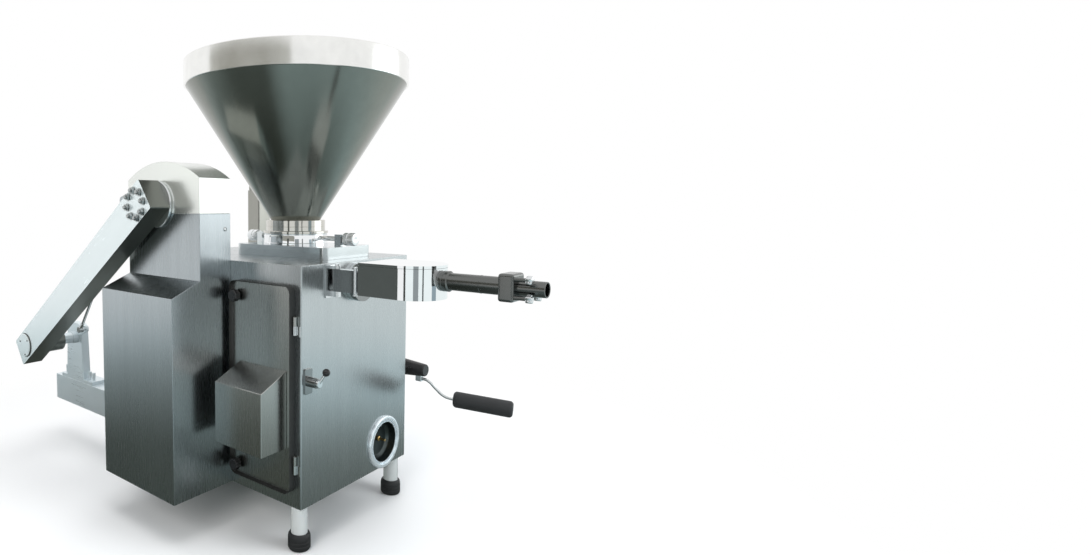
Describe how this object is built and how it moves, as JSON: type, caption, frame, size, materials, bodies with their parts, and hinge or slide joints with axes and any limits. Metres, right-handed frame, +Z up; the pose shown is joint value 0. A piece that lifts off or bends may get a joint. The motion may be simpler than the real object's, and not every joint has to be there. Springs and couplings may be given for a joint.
{
  "type": "vacuum filling machine",
  "caption": "Free-standing vacuum filling machine with a cone hopper, a swinging lift arm with a trolley fork, and a swivelling filling outlet.",
  "frame": {"origin": "middle of the bounding box's base, on the floor under the machine", "axes": "+X towards the filling pipe, -X towards the lift arm's low end, -Y the door and lift side, +Y the operator side, +Z up"},
  "size_m": [2.775, 1.567, 2.011],
  "materials": {
    "brushed_steel": "ground and brushed stainless sheet",
    "polished_steel": "turned and mirror polished stainless",
    "satin_dark_steel": "satin, dark reflecting stainless",
    "painted_casting": "grey enamel on castings and motors",
    "black_rubber": "moulded matt black rubber",
    "black_plastic": "moulded satin black plastic",
    "brass": "turned brass",
    "screen_glass": "dark glossy display window"
  },
  "bodies": {
    "machine": {"base_housing": "brushed_steel", "leg_front_left": "brushed_steel", "leg_front_right": "brushed_steel", "leg_rear_left": "brushed_steel", "leg_rear_right": "brushed_steel", "column_casing": "brushed_steel", "column_dome": "brushed_steel", "strut_bracket": "brushed_steel", "door_hinge_lower": "brushed_steel", "door_hinge_upper": "brushed_steel", "left_side_panel": "brushed_steel", "port_ring": "brushed_steel", "port_dish": "brushed_steel", "pump_housing": "brushed_steel", "hopper": "brushed_steel", "swing_bracket": "brushed_steel", "latch_plate": "brushed_steel", "knee_bracket": "brushed_steel", "control_box": "brushed_steel", "hopper_neck": "polished_steel", "outlet_flange": "polished_steel", "lift_gearmotor": "painted_casting", "pump_gearbox": "painted_casting", "drive_motor": "painted_casting", "vacuum_pump": "painted_casting", "foot_front_left": "black_rubber", "foot_front_right": "black_rubber", "foot_rear_left": "black_rubber", "foot_rear_right": "black_rubber", "cord": "black_rubber", "cord_coil": "black_rubber", "cord_gland": "black_plastic", "cord_plug": "black_plastic", "drain_nozzle": "brass", "control_screen": "screen_glass"},
    "arm": {"lift_arm": "brushed_steel", "lift_shaft": "polished_steel", "arm_end_cap": "brushed_steel"},
    "fork": {"fork_frame": "brushed_steel", "fork_pedestal": "brushed_steel", "lock_guide": "brushed_steel"},
    "lock": {"lock_bolt": "satin_dark_steel"},
    "strut": {"strut_tube": "brushed_steel"},
    "strut_slider": {"strut_rod": "polished_steel"},
    "door": {"service_door": "brushed_steel", "door_cover": "brushed_steel"},
    "knob_upper": {"door_knob_upper": "black_plastic"},
    "knob_lower": {"door_knob_lower": "black_plastic"},
    "pump": {"pump_rotor": "polished_steel", "feed_auger": "polished_steel"},
    "clamp_left": {"clamp_screw_left": "polished_steel"},
    "clamp_right": {"clamp_screw_right": "polished_steel"},
    "outlet": {"outlet_arm": "satin_dark_steel", "outlet_head": "polished_steel"},
    "pipe": {"filling_pipe": "satin_dark_steel", "pipe_holder": "satin_dark_steel"},
    "latch": {"latch_lever": "black_plastic"},
    "knee": {"knee_lever": "black_plastic", "knee_pad": "black_rubber"}
  },
  "joints": [
    {"name": "arm_swing", "type": "hinge", "parent": "machine", "child": "arm", "pos_m": [-0.1005, -0.7045, 1.373], "axis": [0, 1, 0], "range_deg": [0, 120]},
    {"name": "fork_tilt", "type": "hinge", "parent": "arm", "child": "fork", "pos_m": [-1.1494, -0.5245, 0.62206], "axis": [0, 1, 0], "range_deg": [0, 16]},
    {"name": "lock_slide", "type": "slide", "parent": "fork", "child": "lock", "axis": [-1, 0, 0], "range_m": [0, 0.06]},
    {"name": "strut_swing", "type": "hinge", "parent": "machine", "child": "strut", "pos_m": [-0.5495, -0.4945, 1.386], "axis": [0, 1, 0], "range_deg": [0, 160]},
    {"name": "strut_extend", "type": "slide", "parent": "strut", "child": "strut_slider", "axis": [-0.5713, 0, -0.8208], "range_m": [0, 0.33]},
    {"name": "door_swing", "type": "hinge", "parent": "machine", "child": "door", "pos_m": [0.5415, -0.4825, 0.65], "axis": [0, 0, 1], "range_deg": [0, 100]},
    {"name": "knob_upper_turn", "type": "hinge", "parent": "door", "child": "knob_upper", "pos_m": [0.2325, -0.5045, 1], "axis": [0, 1, 0], "range_deg": [0, 90]},
    {"name": "knob_lower_turn", "type": "hinge", "parent": "door", "child": "knob_lower", "pos_m": [0.2325, -0.5045, 0.29], "axis": [0, 1, 0], "range_deg": [-90, 0]},
    {"name": "pump_spin", "type": "hinge", "parent": "machine", "child": "pump", "pos_m": [0.1655, -0.0555, 1.05], "axis": [0, 0, 1], "continuous": true},
    {"name": "clamp_left_turn", "type": "hinge", "parent": "machine", "child": "clamp_left", "pos_m": [-0.0925, -0.0555, 1.221], "axis": [1, 0, 0], "range_deg": [0, 360]},
    {"name": "clamp_right_turn", "type": "hinge", "parent": "machine", "child": "clamp_right", "pos_m": [0.4675, -0.0555, 1.221], "axis": [1, 0, 0], "range_deg": [0, 360]},
    {"name": "outlet_swing", "type": "hinge", "parent": "machine", "child": "outlet", "pos_m": [0.5975, -0.2925, 1.07], "axis": [0, 0, -1], "range_deg": [0, 70]},
    {"name": "pipe_spin", "type": "hinge", "parent": "outlet", "child": "pipe", "pos_m": [1.0675, -0.2185, 1.098], "axis": [1, 0, 0], "continuous": true},
    {"name": "latch_turn", "type": "hinge", "parent": "machine", "child": "latch", "pos_m": [0.6235, -0.4365, 0.69], "axis": [1, 0, 0], "range_deg": [0, 90]},
    {"name": "knee_swing", "type": "hinge", "parent": "machine", "child": "knee", "pos_m": [0.5475, 0.3755, 0.58], "axis": [1, 0, 0], "range_deg": [-15, 0], "stiffness_Nm_per_rad": 12, "springref_deg": 20.05}
  ],
  "couplings": [
    {"joint": "fork_tilt", "follows": "arm_swing", "ratio": 0.13},
    {"joint": "strut_swing", "follows": "arm_swing", "ratio": 1.3262},
    {"joint": "strut_extend", "follows": "arm_swing", "m_per_rad": 0.15685}
  ]
}
